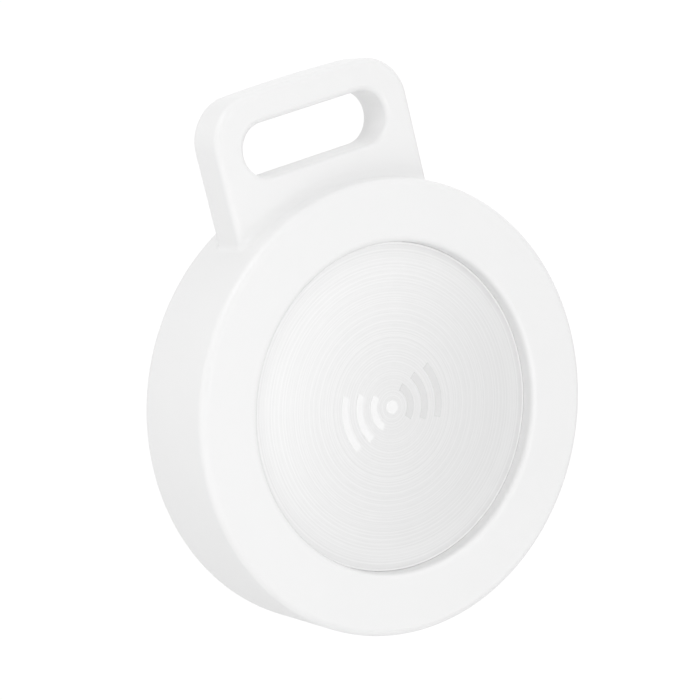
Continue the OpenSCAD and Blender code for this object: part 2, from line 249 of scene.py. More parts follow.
def spin_pts(points, degrees):
    """Turns points about the puck axis."""
    c, s = polar(1.0, degrees)
    p = np.asarray(points, float)
    q = p.copy()
    q[..., 0] = p[..., 0] * c - p[..., 1] * s
    q[..., 1] = p[..., 0] * s + p[..., 1] * c
    return q


def box_pts(x, y, cx=0.0, cy=0.0, turn=0.0, cut=0.0):
    """A rectangle about (cx, cy), turned, with its corners cut off where cut is given."""
    w, h = x / 2, y / 2
    if cut:
        pts = [(-w + cut, -h), (w - cut, -h), (w, -h + cut), (w, h - cut),
               (w - cut, h), (-w + cut, h), (-w, h - cut), (-w, -h + cut)]
    else:
        pts = [(-w, -h), (w, -h), (w, h), (-w, h)]
    return spin_pts(pts, turn) + np.array([cx, cy])


def smooth(points):
    """Rounds the corners of an open path by cutting them three times; its ends stay."""
    p = np.asarray(points, float)
    for _ in range(3):
        q = [p[0]]
        for a, b in zip(p[:-1], p[1:]):
            q += [a * 0.75 + b * 0.25, a * 0.25 + b * 0.75]
        p = np.array(q + [p[-1]])
    return p


def normals(path):
    """Unit normals along a plane path."""
    t = np.gradient(path, axis=0)
    t /= np.linalg.norm(t, axis=1)[:, None]
    return np.stack([-t[:, 1], t[:, 0]], -1)


# ---------------------------------------------------------------- materials
class Tree:
    """Small helper for writing a node tree."""

    def __init__(self, tree):
        self.t = tree

    def feed(self, socket, value):
        """Sets an input to a number or a colour, or links it to another node's output."""
        if isinstance(value, (int, float)):
            socket.default_value = value
        elif isinstance(value, tuple):
            socket.default_value = value + (1.0,)
        else:
            self.t.links.new(value, socket)

    def new(self, kind, **inputs):
        """A new node with these inputs set."""
        n = self.t.nodes.new(kind)
        for name, value in inputs.items():
            self.feed(n.inputs[name.replace("_", " ")], value)
        return n

    def math(self, op, *values):
        n = self.new("ShaderNodeMath")
        n.operation = op
        for socket, value in zip(n.inputs, values):
            self.feed(socket, value)
        return n.outputs[0]

    def by_ray(self, others, camera, surface):
        """Gives camera rays one shader and all other rays another."""
        path = self.new("ShaderNodeLightPath")
        mix = self.new("ShaderNodeMixShader")
        for socket, value in zip(mix.inputs, (path.outputs["Is Camera Ray"], others, camera)):
            self.feed(socket, value)
        self.feed(surface, mix.outputs[0])


class Nodes(Tree):
    """A material whose coordinates are in millimetres."""

    def __init__(self, name):
        self.mat = bpy.data.materials.new(name)
        self.mat.use_nodes = True
        super().__init__(self.mat.node_tree)
        self.t.nodes.clear()
        self.out = self.new("ShaderNodeOutputMaterial")
        self.bsdf = self.new("ShaderNodeBsdfPrincipled")
        self.feed(self.out.inputs[0], self.bsdf.outputs[0])
        self._coord = None

    def put(self, socket, value):
        """Feeds one input of the surface shader."""
        self.feed(self.bsdf.inputs[socket], value)

    def mm(self):
        """Object coordinates in millimetres from the middle of the puck."""
        if self._coord is None:
            tc = self.new("ShaderNodeTexCoord")
            mp = self.new("ShaderNodeMapping", Vector=tc.outputs["Object"])
            mp.inputs["Location"].default_value = (0, 0, -CENTRE_Z)
            mp.inputs["Scale"].default_value = (1000, 1000, 1000)
            self._coord = mp.outputs[0]
        return self._coord

    def noise(self, scale, detail=2.0, rough=0.5, stretch=None, coord=None):
        src = coord or self.mm()
        if stretch:
            mp = self.new("ShaderNodeMapping", Vector=src)
            mp.inputs["Scale"].default_value = stretch
            src = mp.outputs[0]
        n = self.new("ShaderNodeTexNoise", Scale=scale, Detail=detail, Roughness=rough, Vector=src)
        return n.outputs["Fac"]

    def noise_1d(self, where, scale, seed):
        """Noise along one measure only, so that its grain keeps to one pitch."""
        n = self.new("ShaderNodeTexNoise", Scale=scale, Detail=0.0)
        n.noise_dimensions = "1D"
        self.feed(n.inputs["W"], self.math("ADD", where, seed))
        return n.outputs["Fac"]

    def span(self, fac, a, b, from_min=0.0, from_max=1.0):
        """Maps a value from one range onto a to b, held at the ends."""
        return self.new("ShaderNodeMapRange", Value=fac, From_Min=from_min, From_Max=from_max,
                        To_Min=a, To_Max=b).outputs[0]

    def mix(self, fac, a, b):
        """Mixes two colours: inputs 0, 6 and 7 are the factor and the colours, output 2 the result."""
        n = self.new("ShaderNodeMix")
        n.data_type = "RGBA"
        for i, value in ((0, fac), (6, a), (7, b)):
            self.feed(n.inputs[i], value)
        return n.outputs[2]

    def tint(self, fac, lo, hi, a, b):
        """Surface colour between a and b as the value goes from lo to hi."""
        self.put("Base Color", self.mix(self.span(fac, 0, 1, lo, hi), a, b))

    def split(self, vec):
        return self.new("ShaderNodeSeparateXYZ", Vector=vec).outputs

    def join(self, x, y, z):
        return self.new("ShaderNodeCombineXYZ", X=x, Y=y, Z=z).outputs[0]

    def radius(self):
        """Distance from the puck axis in millimetres."""
        xyz = self.split(self.mm())
        return self.math("SQRT", self.math("ADD", self.math("MULTIPLY", xyz[0], xyz[0]),
                                           self.math("MULTIPLY", xyz[2], xyz[2])))

    def bump(self, height, strength, mm=0.01):
        n = self.new("ShaderNodeBump", Strength=strength, Distance=mm * 0.001, Height=height)
        self.put("Normal", n.outputs[0])


def grey(level):
    return (level, level, level)


def shade(colour, k):
    return tuple(c * k for c in colour)


def moulded(name, colour, rough, grain, depth, spread, well=0.0):
    """Moulded plastic: eroded grain, faint flow marks and, with well, painted shade: the wall of the front
    opening darkened by that share.
    """
    n = Nodes(name)
    drift = n.noise(0.16, 3.0)
    tone = n.mix(n.span(drift, 0, 1, 0.3, 0.7), shade(colour, 1 - spread * 2), colour)
    # Painted shade: the wall of the front opening is darkened, standing in for the shade inside the recess.
    if well:
        wall = n.span(n.radius(), 0, 1, OPENING_R + 0.02, OPENING_R + 0.2)
        tone = n.mix(wall, shade(colour, 1 - well), tone)
    n.put("Base Color", tone)
    fine = n.noise(grain, 3.0, 0.6)
    pit = n.noise(grain * 3.1, 2.0, 0.55)
    n.put("Roughness", n.span(n.noise(grain * 0.4, 2.0), rough - 0.05, rough + 0.06, 0.3, 0.7))
    n.bump(n.math("MULTIPLY_ADD", pit, 0.5, fine), 0.6, depth)
    n.put("IOR", 1.46)
    return n.mat


def spun_metal(name):
    """Pale spun disc under a satin lacquer: turned rings of uneven width with a few bright thin ones, painted
    shade toward the rim and a painted highlight on its edge.
    """
    n = Nodes(name)
    r = n.radius()
    xyz = n.split(n.mm())
    ang = n.math("ARCTAN2", xyz[2], xyz[0])
    coarse = n.noise_1d(r, 5.2, 20.0)
    fine = n.noise_1d(r, 9.0, 50.0)
    along = n.join(n.math("MULTIPLY", r, 10.0), n.math("MULTIPLY", ang, 6.0), 0.0)
    streak = n.noise(1.0, 2.0, 0.6, coord=along)
    rings = n.math("ADD", n.math("MULTIPLY", coarse, 0.38), n.math("MULTIPLY", fine, 0.62))
    lines = n.span(rings, 0, 1, 0.54, 0.64)
    tone = n.math("ADD", n.math("MULTIPLY", rings, 0.55), n.math("MULTIPLY", streak, 0.45))
    base = n.mix(n.span(tone, 0, 1, 0.30, 0.70), grey(0.80), grey(0.85))
    lined = n.mix(n.math("MULTIPLY", lines, 0.3), base, grey(0.90))
    # Painted shade: the disc darkens from 8 mm out to its rim, standing in for the shade under the opening's
    # lip.
    shaded = n.mix(n.span(r, 0, 0.10, 8.0, OPENING_R - 0.2), lined, grey(0.74))
    # Painted highlight: the outer 0.16 mm of the disc is pale grey, a light line standing in for the edge
    # catching light.
    rim = n.math("GREATER_THAN", r, OPENING_R - 0.16)
    n.put("Base Color", n.mix(rim, shaded, grey(0.94)))
    # The lacquer builds up toward the rim, so that the outer zone mirrors the wall beside it less
    outer = n.span(r, 0.8, 0.45, 11.0, OPENING_R - 0.2)
    n.put("Metallic", n.math("MULTIPLY", outer, n.math("SUBTRACT", 1.0, rim)))
    n.put("Roughness", n.span(streak, 0.30, 0.325, 0.3, 0.7))
    n.put("IOR", 1.5)
    n.bump(coarse, 0.4, 0.003)
    return n.mat


def metal(name, colour, rough=0.3, grain=(1, 1, 14), scale=3.0):
    """Rolled or stamped metal with directional scratches and mild stain."""
    n = Nodes(name)
    g = n.noise(scale, 4.0, 0.65, stretch=grain)
    blotch = n.noise(0.7, 3.0)
    f = n.math("ADD", n.math("MULTIPLY", g, 0.6), n.math("MULTIPLY", blotch, 0.4))
    n.tint(f, 0.3, 0.7, shade(colour, 0.92), colour)
    n.put("Metallic", 1.0)
    n.put("Roughness", n.span(f, rough - 0.06, rough + 0.1, 0.3, 0.7))
    n.bump(g, 0.5, 0.002)
    return n.mat


def lathe_metal(name, colour):
    """Round metal part with turned or drawn rings about the puck axis."""
    n = Nodes(name)
    r = n.radius()
    rings = n.noise(6.0, 3.0, 0.6, coord=n.join(r, 0.0, 0.0))
    stain = n.noise(0.5, 3.0)
    n.tint(stain, 0.35, 0.7, colour, shade(colour, 0.9))
    n.put("Metallic", 1.0)
    n.put("Roughness", n.span(rings, 0.21, 0.36, 0.3, 0.7))
    n.bump(rings, 0.4, 0.002)
    return n.mat


def soft(name, colour, rough=0.6, grain=6.0, sheen=0.2):
    """Silicone or foam: matt, with a dusty sheen."""
    n = Nodes(name)
    drift = n.noise(0.9, 3.0)
    n.tint(drift, 0.3, 0.7, shade(colour, 0.92), colour)
    n.put("Roughness", n.span(n.noise(grain, 2.0), rough - 0.05, rough + 0.1))
    n.put("Sheen Weight", sheen)
    n.bump(n.noise(grain, 3.0, 0.6), 0.5, 0.01)
    return n.mat


def foam_mat(name, colour):
    """Open-celled foam."""
    n = Nodes(name)
    cell = n.new("ShaderNodeTexVoronoi", Scale=5.0, Vector=n.mm()).outputs["Distance"]
    n.tint(cell, 0.0, 0.7, shade(colour, 0.5), colour)
    n.put("Roughness", 0.9)
    n.put("Sheen Weight", 0.4)
    n.bump(n.math("ADD", cell, n.noise(12.0, 2.0)), 0.8, 0.05)
    return n.mat


def board_mat(name, dark=(0.012, 0.10, 0.045), light=(0.02, 0.17, 0.075)):
    """Solder mask over a woven laminate: weave telegraphs through the green."""
    n = Nodes(name)
    xyz = n.split(n.mm())
    wx = n.math("SINE", n.math("MULTIPLY", xyz[0], 12.0))
    wz = n.math("SINE", n.math("MULTIPLY", xyz[2], 12.0))
    weave = n.math("MULTIPLY", wx, wz)
    drift = n.noise(0.5, 3.0)
    f = n.math("MULTIPLY_ADD", weave, 0.12, drift)
    n.tint(f, 0.3, 0.75, dark, light)
    n.put("Roughness", n.span(n.noise(3.0, 2.0), 0.28, 0.42))
    n.put("Coat Weight", 0.3)
    n.put("Coat Roughness", 0.15)
    n.bump(weave, 0.25, 0.004)
    return n.mat


def chip_mat(name, colour=(0.02, 0.02, 0.022), rough=0.55):
    """Moulding resin or fired ceramic: fine matt grain."""
    n = Nodes(name)
    g = n.noise(14.0, 3.0, 0.6)
    n.tint(g, 0.35, 0.65, shade(colour, 0.7), shade(colour, 1.4))
    n.put("Roughness", n.span(n.noise(5.0, 2.0), rough - 0.08, rough + 0.1))
    n.bump(g, 0.6, 0.006)
    return n.mat


def ink_mat(name, colour, rough=0.14):
    """Glossy printed lacquer standing a hair proud of the disc."""
    n = Nodes(name)
    f = n.noise(3.0, 2.0)
    n.tint(f, 0.3, 0.7, shade(colour, 0.985), colour)
    n.put("Roughness", n.span(n.noise(7.0, 2.0), rough, rough + 0.05))
    n.put("Coat Weight", 0.5)
    n.put("Coat Roughness", 0.06)
    n.bump(n.noise(2.5, 2.0), 0.2, 0.004)
    return n.mat


PLASTIC = {"colour": grey(0.82), "rough": 0.34, "grain": 10.0, "depth": 0.006, "spread": 0.004}
WHITE = moulded("housing_white", **PLASTIC)
# The front housing carries painted shade on the wall of its opening.
HOUSING = moulded("housing_white_front", well=0.125, **PLASTIC)
SPUN = spun_metal("spun_disc")
SILICONE = soft("silicone_grey", (0.55, 0.57, 0.60), 0.5, 5.0, 0.3)
FOAM = foam_mat("foam_grey", (0.10, 0.10, 0.11))
TRAY = moulded("tray_black", (0.022, 0.022, 0.025), rough=0.5, grain=12.0, depth=0.006, spread=0.05)
CHIP = chip_mat("chip_resin")
STEEL = metal("stamped_steel", (0.62, 0.62, 0.64), 0.3)
PLATED = metal("plated_lid", (0.78, 0.75, 0.68), 0.28, (14, 1, 1))
GOLD = metal("plated_spring", (0.86, 0.66, 0.30), 0.24, (1, 1, 9))
TIN = metal("tinned_end", (0.72, 0.72, 0.73), 0.4, (2, 2, 2), 5.0)
SCREW = metal("zinc_screw", (0.50, 0.51, 0.54), 0.32, (3, 3, 3), 4.0)
CELL = lathe_metal("nickel_can", (0.66, 0.67, 0.68))
CELL_SEAL = chip_mat("cell_seal_black", (0.03, 0.03, 0.035), 0.45)
BOARD = board_mat("solder_mask")
TRACK = board_mat("masked_track", (0.03, 0.24, 0.10), (0.045, 0.30, 0.13))
CERAMIC_TAN = chip_mat("capacitor_ceramic", (0.34, 0.22, 0.12), 0.4)
CERAMIC_BLACK = chip_mat("resistor_coat", (0.025, 0.025, 0.028), 0.35)
CERAMIC_WHITE = chip_mat("antenna_ceramic", (0.62, 0.61, 0.56), 0.45)
FILM = ink_mat("amber_film", (0.55, 0.27, 0.03), 0.2)
# One grey ink in a lit and a shaded copy: the darker copy is painted shade on the right-hand arcs of the
# mark.
INK_LIT = ink_mat("print_lit_painted", grey(0.86), 0.24)
INK_SHADED = ink_mat("print_shaded_painted", grey(0.703))
POWDER = chip_mat("cathode_mix", (0.02, 0.02, 0.02), 0.8)
PAPER = soft("separator_felt", (0.8, 0.8, 0.77), 0.8, 9.0, 0.3)
FOIL = metal("anode_foil", (0.7, 0.71, 0.73), 0.45)


# ---------------------------------------------------------------- housing
def root_fillet(x, z, nx, nz):
    """Rolling-ball blend between the tab wall at (x, z) and the round wall: centre and both contacts."""
    cx, cz = x + ROOT_R * nx, z + ROOT_R * nz
    cy = math.sqrt((BODY_R + ROOT_R) ** 2 - cx * cx)
    k = BODY_R / (BODY_R + ROOT_R)
    return np.array([cx, cy, cz]), np.array([x, cy, z]), np.array([cx * k, cy * k, cz])


def tab_loop():
    """Cross-section loop of the tab: (x, z, nx, nz), four sides of 72, 14, 72 and 14 steps."""
    flat_w = TAB_HALF - TAB_E
    flat_h = TAB_H - TAB_E

    def corner(cx, cz, a0, a1):
        return [polar(TAB_E, a, cx, cz) + polar(1.0, a) for a in np.linspace(a0, a1, 5)]

    xs = np.linspace(-flat_w, flat_w, 65)
    steps = (1, 0.94, 0.5, 0, -0.5, -0.94, -1)
    front = [(x, TAB_H, 0, 1) for x in xs]
    right = [(TAB_HALF, flat_h * k, 1, 0) for k in steps]
    back = [(x, -TAB_H, 0, -1) for x in xs[::-1]]
    left = [(-TAB_HALF, -flat_h * k, -1, 0) for k in steps]
    loop = []
    for first, side, last in (
            (corner(-flat_w, flat_h, 135, 90), front, corner(flat_w, flat_h, 90, 45)),
            (corner(flat_w, flat_h, 45, 0), right, corner(flat_w, -flat_h, 0, -45)),
            (corner(flat_w, -flat_h, -45, -90), back, corner(-flat_w, -flat_h, -90, -135)),
            (corner(-flat_w, -flat_h, -135, -180), left, corner(-flat_w, flat_h, 180, 135))):
        loop += (first[:-1] + side + last[1:])[:-1]
    return loop


def make_housing():
    """The white moulding in one closed shell, with the screw bosses as shells of their own."""
    s = Shell()
    # Roundings at the front, at the rear and round the opening
    rf, rr, ro = 0.6, 0.5, 0.5
    z_top, z_bot = Z_FRONT - rf, Z_REAR + rr
    # Outer wall rows, denser by the rounded edges
    inner_rows = np.linspace(z_top - 0.06, z_bot + 0.06, 13)
    rows = np.concatenate([[z_top], inner_rows, [z_bot]])
    # Section from the foot of the wall round the back, through the inside and over the front
    sec = chain(
        arc(BODY_R - rr, z_bot, rr, 0, -90, 8),
        line((BODY_R - rr, Z_REAR), (RECESS_R + 0.08, Z_REAR), 2),
        arc(RECESS_R + 0.08, Z_REAR + 0.08, 0.08, -90, -180, 4),
        line((RECESS_R, Z_REAR + 0.08), (RECESS_R, COVER_IN_Z), 3, 0.03),
        line((RECESS_R, COVER_IN_Z), (CAVITY_R, COVER_IN_Z), 1),
        line((CAVITY_R, COVER_IN_Z), (CAVITY_R, LEDGE_Z), 4),
        line((CAVITY_R, LEDGE_Z), (OPENING_R, LEDGE_Z), 3),
        line((OPENING_R, LEDGE_Z), (OPENING_R, Z_FRONT - ro), 2),
        arc(OPENING_R + ro, Z_FRONT - ro, ro, 180, 90, 7),
        line((OPENING_R + ro, Z_FRONT), (BODY_R - rf, Z_FRONT), 8),
        arc(BODY_R - rf, z_top, rf, 90, 0, 10),
    )
    sec = np.array(sec)
    step = 1.25
    cols = list(np.arange(0, 360, step))
    extra = [270 + sgn * d for sgn in (-1, 1) for d in (8.9, 9.1, 9.3, 9.5, 9.7, 9.9, 10.1, 10.3)]
    cols = np.array(sorted(set(np.round(cols + extra, 4))))

    def dip(theta):
        """How much of the pry notch is open at this angle, 0 to 1."""
        t = np.clip((10.3 - clear_of(theta, (270,))) / 1.3, 0, 1)
        return t * t * (3 - 2 * t)

    notch_depth = 0.7

    def sink(r, z, theta):
        """Heights of section points after the pry notch is pressed into the rear rim."""
        inner = np.clip((COVER_IN_Z - z) / 0.9, 0, 1)
        outer = np.clip((-2.4 - z) / 1.5, 0, 1)
        outer = outer * outer * (3 - 2 * outer)
        share = np.where(r < RECESS_R + 0.2, np.where(z < COVER_IN_Z, inner, 0), outer)
        inside = (r < RECESS_R - 0.01) | (z > 0)
        return z + notch_depth * dip(theta) * np.where(inside, 0, share)

    def column(theta, pts):
        a = math.radians(theta)
        z = sink(pts[:, 0], pts[:, 1], theta)
        return np.stack([pts[:, 0] * math.cos(a), pts[:, 0] * math.sin(a), z], -1)

    s.grid([column(t, sec) for t in cols], wrap_u=True)
    wall = np.array([(BODY_R, z) for z in rows])
    outside = [t for t in cols if t >= 135 - 1e-6] + [t + 360 for t in cols if t <= 45 + 1e-6]
    s.grid([column(t, wall) for t in outside])
    # Patch of round wall about the tab root, between the blend's foot and a rectangle of the wall
    loop = tab_loop()
    fil = [root_fillet(*p) for p in loop]
    foot = np.array([[math.degrees(math.atan2(f[2][1], f[2][0])), f[2][2]] for f in fil])
    th = np.arange(135, 45 - 1e-6, -step)
    outer = ([(t, rows[0]) for t in th[:-1]] + [(45, z) for z in rows[:-1]]
             + [(t, rows[-1]) for t in th[::-1][:-1]] + [(135, z) for z in rows[::-1][:-1]])
    outer = np.array(outer)
    patch = []
    for k in (0, 0.03, 0.1, 0.22, 0.37, 0.53, 0.7, 0.86, 1.0):
        q = foot + (outer - foot) * k
        a = np.radians(q[:, 0])
        patch.append(np.stack([BODY_R * np.cos(a), BODY_R * np.sin(a), q[:, 1]], -1))
    s.grid(patch, wrap_v=True)
    # Rolling-ball blend from the tab wall down to the round wall
    blend = []
    for k in np.linspace(0, 1, 11):
        line_pts = []
        for c, up, down in fil:
            u1, u2 = (up - c) / ROOT_R, (down - c) / ROOT_R
            om = math.acos(max(-1, min(1, float(u1 @ u2))))
            d = (math.sin((1 - k) * om) * u1 + math.sin(k * om) * u2) / math.sin(om)
            line_pts.append(c + ROOT_R * d)
        blend.append(line_pts)
    s.grid(np.array(blend), wrap_v=True)
    # Tab edge strip: up the left side, over the slightly crowned top, down the right side
    right_ids = list(range(68, 91))
    left_ids = [(4 - i) % len(loop) for i in range(23)]
    yc0 = TAB_TOP - TAB_ARC
    xc = TAB_HALF - TAB_RC
    yc = yc0 + math.sqrt((TAB_ARC - TAB_RC) ** 2 - xc * xc)
    beta = math.degrees(math.atan2(yc - yc0, xc))
    sect = [(TAB_HALF - abs(loop[i][0]), loop[i][1]) for i in right_ids]
    up_t = [0, 0.006, 0.02] + list(np.linspace(0.05, 1, 24))

    def side_row(ids, t):
        return [(loop[i][0], fil[i][1][1] + (yc - fil[i][1][1]) * t, loop[i][1]) for i in ids]

    strip = [side_row(left_ids, t) for t in up_t]
    for cx, cy, r, a0, a1, n in ((-xc, yc, TAB_RC, 180, 180 - beta, 19),
                                 (0, yc0, TAB_ARC, 180 - beta, beta, 41),
                                 (xc, yc, TAB_RC, beta, 0, 19)):
        for a in np.linspace(a0, a1, n)[1:]:
            strip.append([polar(r - d, a, cx, cy) + (z,) for d, z in sect])
    strip += [side_row(right_ids, t) for t in up_t[::-1][1:]]
    strip = np.array(strip)
    s.grid(strip)
    # Front and back faces of the tab as rings between the outer edge and the slot
    half = SLOT_L - SLOT_W
    bottom_front = np.array([(loop[i][0], fil[i][1][1], loop[i][1]) for i in range(68, 3, -1)])
    rims = []
    for face, k in ((1, 0), (-1, 22)):
        edge = strip[:, k]
        foot_line = bottom_front * np.array([1, 1, face])
        ring = np.concatenate([edge, foot_line[1:-1]])
        qx = np.clip(ring[:, 0], -half, half)
        d = np.stack([ring[:, 0] - qx, ring[:, 1] - SLOT_H], -1)
        d /= np.linalg.norm(d, axis=1)[:, None]
        base = np.stack([qx, np.full(len(qx), SLOT_H)], -1)
        rim = base + d * (SLOT_W + SLOT_E)
        rows_p = []
        for t in (0, 0.015, 0.08, 0.25, 0.5, 0.75, 0.92, 0.985, 1):
            xy = ring[:, :2] + (rim - ring[:, :2]) * t
            rows_p.append(np.concatenate([xy, np.full((len(xy), 1), face * TAB_H)], 1))
        s.grid(rows_p, wrap_v=True)
        rims.append((base, d))
    # Slot wall with rounded mouths
    base, d = rims[0]
    mids = [(SLOT_W, z) for z in np.linspace(TAB_H - SLOT_E - 0.04, -(TAB_H - SLOT_E - 0.04), 6)]
    bores = arc(SLOT_W + SLOT_E, TAB_H - SLOT_E, SLOT_E, 90, 180, 6)
    bores = bores + mids + [(o, -z) for o, z in bores[::-1]]
    s.grid([np.concatenate([base + d * o, np.full((len(base), 1), z)], 1) for o, z in bores], wrap_v=True)
    # Screw bosses, each a tube with a blind pilot hole
    bore, wall_r, foot, edge, top = 0.66, 1.10, 1.10, 0.06, LEDGE_Z + 0.01
    tube = [(bore, foot + edge), (bore + edge, foot), (wall_r - edge, foot), (wall_r, foot + edge),
            (wall_r, top), (bore, top)]
    for b in BOSSES:
        cx, cy = polar(BOSS_RING, b)
        s.grid([[(cx + r * math.cos(a), cy + r * math.sin(a), z) for r, z in tube] for a in around(32)],
               wrap_u=True, wrap_v=True)
    return s.object("tag_housing", [HOUSING], 34)


housing = make_housing()
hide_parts("front_housing")
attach(housing, "housing")


# ---------------------------------------------------------------- button
def make_button():
    """Spun cap: turned face, thin rim, a flange notched round the bosses and a boss over the switch."""
    s = Shell()
    rng = np.random.default_rng(7)
    # Turned face: rings of uneven pitch, one to two microns deep
    r_edge = OPENING_R - BUTTON_GAP
    rs = np.arange(0.0, r_edge - 0.2, 0.055)
    h = np.zeros(len(rs))
    for pitch, amp in ((0.42, 0.0005), (0.24, 0.0004)):
        phase = np.cumsum(rng.uniform(0.6, 1.4, len(rs))) * 0.055 / pitch * 2 * np.pi
        h += amp * np.sin(phase) * rng.uniform(0.5, 1.0, len(rs))
    h *= np.clip(rs / 0.5, 0, 1)
    face = [(r, BUTTON_Z - 0.002 + z) for r, z in zip(rs, h)]
    under = BUTTON_Z - 0.8
    flange_top = 2.5
    skirt_r = 11.9
    boss_r, boss_z = 1.5, 1.95
    notch_r = 1.3
    e = 0.03
    bevel = 0.05
    sec = chain(
        face,
        [(r_edge - 0.10, BUTTON_Z)],
        arc(r_edge - e, BUTTON_Z - e, e, 90, 0, 5),
        line((r_edge, BUTTON_Z - e), (r_edge, flange_top), 1, 0.03),
        [(FLANGE_R - bevel, flange_top), (FLANGE_R, flange_top - bevel)],
        [(FLANGE_R, CAP_LOW_Z + bevel), (FLANGE_R - bevel, CAP_LOW_Z)],
        [(skirt_r + bevel, CAP_LOW_Z), (skirt_r, CAP_LOW_Z + bevel), (skirt_r, under)],
        line((skirt_r, under), (boss_r, under), 6),
        [(boss_r, boss_z + 0.03), (boss_r - 0.03, boss_z), (0, boss_z)],
    )
    sec = np.array(sec)
    cols = list(np.arange(0, 360, 1.875))
    for b in BOSSES:
        cols += [b + d for d in np.linspace(-5.6, 5.6, 21)]
    cols = np.array(sorted(set(np.round(np.array(cols) % 360, 4))))
    grid = []
    for t in cols:
        r = sec[:, 0].copy()
        gap = clear_of(t, BOSSES)
        sn = BOSS_RING * math.sin(math.radians(gap))
        if gap < 20 and abs(sn) < notch_r:
            inner = BOSS_RING * math.cos(math.radians(gap)) - math.sqrt(notch_r ** 2 - sn * sn)
            r = np.where(r > r_edge + 0.01, np.minimum(r, np.maximum(inner, r_edge + 0.02)), r)
        a = math.radians(t)
        grid.append(np.stack([r * math.cos(a), r * math.sin(a), sec[:, 1]], -1))
    s.grid(grid, wrap_u=True)
    return s.object("spun_button", [SPUN], 30)


button = make_button()
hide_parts("button_cap")
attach(button, "button")


def stroke(path, width, z0, z1, mat, shell):
    """A flat printed line of even width along a path."""
    p = np.asarray(path, float)
    out = normals(p) * width / 2
    sides = ((p + out, z0), (p + out, z1), (p - out, z1), (p - out, z0))
    rows_p = np.array([[(q[0], q[1], z) for q in side] for side, z in sides])
    shell.sweep(rows_p.transpose(1, 0, 2), mat)


def make_glyph():
    """Generic broadcast mark: a dot between pairs of arcs, printed thin on the disc; the right-hand arcs take
    a darker copy of the ink as painted shade.
    """
    s = Shell()
    z0, z1 = BUTTON_Z - 0.001, BUTTON_Z + 0.018
    s.slab(circle(0.55, 40), z0, z1, 0.01)
    # Painted shade: the right-hand arcs get the darker ink, and the dot and the left-hand arcs get the
    # lighter one.
    for side in (0, 180):
        for r, span in ((1.75, 47), (3.1, 36), (4.45, 29)):
            path = arc(0, 0, r, side - span, side + span, 30)
            stroke(path, 0.62, z0, z1, 0 if side == 180 else 1, s)
    return s.object("button_glyph", [INK_LIT, INK_SHADED], 30)


glyph = make_glyph()
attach(glyph, "button")


# ---------------------------------------------------------------- rear cover
def make_cover():
    """Flush plate with a shallow round panel, and a skirt with a groove for the seal."""
    s = Shell()
    panel_r, panel_z = 12.6, Z_REAR + 0.12
    e = 0.15
    skirt_r, skirt_in, groove_r, groove_half = 15.5, 14.6, 15.1, 0.32
    sec = chain(
        [(0, panel_z)],
        line((0.2, panel_z), (panel_r, panel_z), 4),
        arc(panel_r, panel_z - 0.06, 0.06, 90, 0, 3),
        arc(panel_r + 0.14, Z_REAR + 0.08, 0.08, 180, 270, 3),
        line((panel_r + 0.14, Z_REAR), (COVER_R - e, Z_REAR), 3),
        arc(COVER_R - e, Z_REAR + e, e, -90, 0, 5),
        line((COVER_R, Z_REAR + e), (COVER_R, COVER_IN_Z - 0.05), 1, 0.03),
        [(COVER_R - 0.05, COVER_IN_Z), (skirt_r, COVER_IN_Z)],
        [(skirt_r, SEAL_Z - groove_half), (groove_r, SEAL_Z - groove_half)],
        [(groove_r, SEAL_Z + groove_half), (skirt_r, SEAL_Z + groove_half)],
        [(skirt_r, SKIRT_LOW_Z - 0.06), (skirt_r - 0.06, SKIRT_LOW_Z)],
        [(skirt_in + 0.06, SKIRT_LOW_Z), (skirt_in, SKIRT_LOW_Z - 0.06)],
        line((skirt_in, SKIRT_LOW_Z - 0.06), (skirt_in, COVER_IN_Z), 2, 0.03),
        line((skirt_in, COVER_IN_Z), (0, COVER_IN_Z), 4),
    )
    s.ring(sec, 288, closed=False)
    return s.object("rear_cover_shell", [WHITE], 34)


cover = make_cover()
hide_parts("rear_cover")
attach(cover, "cover")


# ---------------------------------------------------------------- seals and foam
def make_seal():
    s = Shell()
    s.ring([polar(0.24, a, 15.34, SEAL_Z) for a in np.linspace(0, 360, 25)[:-1]], 240)
    return s.object("seal_ring", [SILICONE], 60)


def make_button_ring():
    """Hollow-sided silicone ring, thinner at its waist so that the real ring folds when pressed; here it
    stays in its rest shape.
    """
    s = Shell()
    sec = chain([(12.06, 1.10), (12.64, 1.10), (12.70, 1.16), (12.70, 1.30)],
                arc(12.86, 1.525, 0.27, 236, 124, 6),
                [(12.70, 1.75), (12.70, 1.89), (12.64, 1.95), (12.06, 1.95), (12.0, 1.89), (12.0, 1.75)],
                arc(11.84, 1.525, 0.27, 56, -56, 6),
                [(12.0, 1.30), (12.0, 1.16)])
    s.ring(sec, 180)
    return s.object("button_ring_soft", [SILICONE], 40)


def make_foam():
    """Die-cut foam disc: flat on both faces, its cut wall slightly waisted and uneven."""
    s = Shell()
    rng = np.random.default_rng(3)
    z0, z1 = COVER_IN_Z, COVER_IN_Z + 0.25
    a = around(144)
    wave = 0.03 * np.sin(a * 7 + 1.3) + 0.02 * np.sin(a * 19) + rng.normal(0, 0.008, len(a))
    grid = []
    for ang, w in zip(a, wave):
        col = [(0, z0), (2.5, z0), (4.9 + w, z0), (4.95 + w, z0 + 0.04), (4.9 + w, (z0 + z1) / 2),
               (4.95 + w, z1 - 0.04), (4.9 + w, z1), (2.5, z1), (0, z1)]
        grid.append([(r * math.cos(ang), r * math.sin(ang), z) for r, z in col])
    s.grid(grid, wrap_u=True)
    return s.object("foam_disc", [FOAM], 40)


seal = make_seal()
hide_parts("cover_seal")
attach(seal, "cover")
ring_soft = make_button_ring()
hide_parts("button_ring")
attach(ring_soft, "housing")
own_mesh(ring_soft)
foam = make_foam()
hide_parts("foam_pad")
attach(foam, "cover")


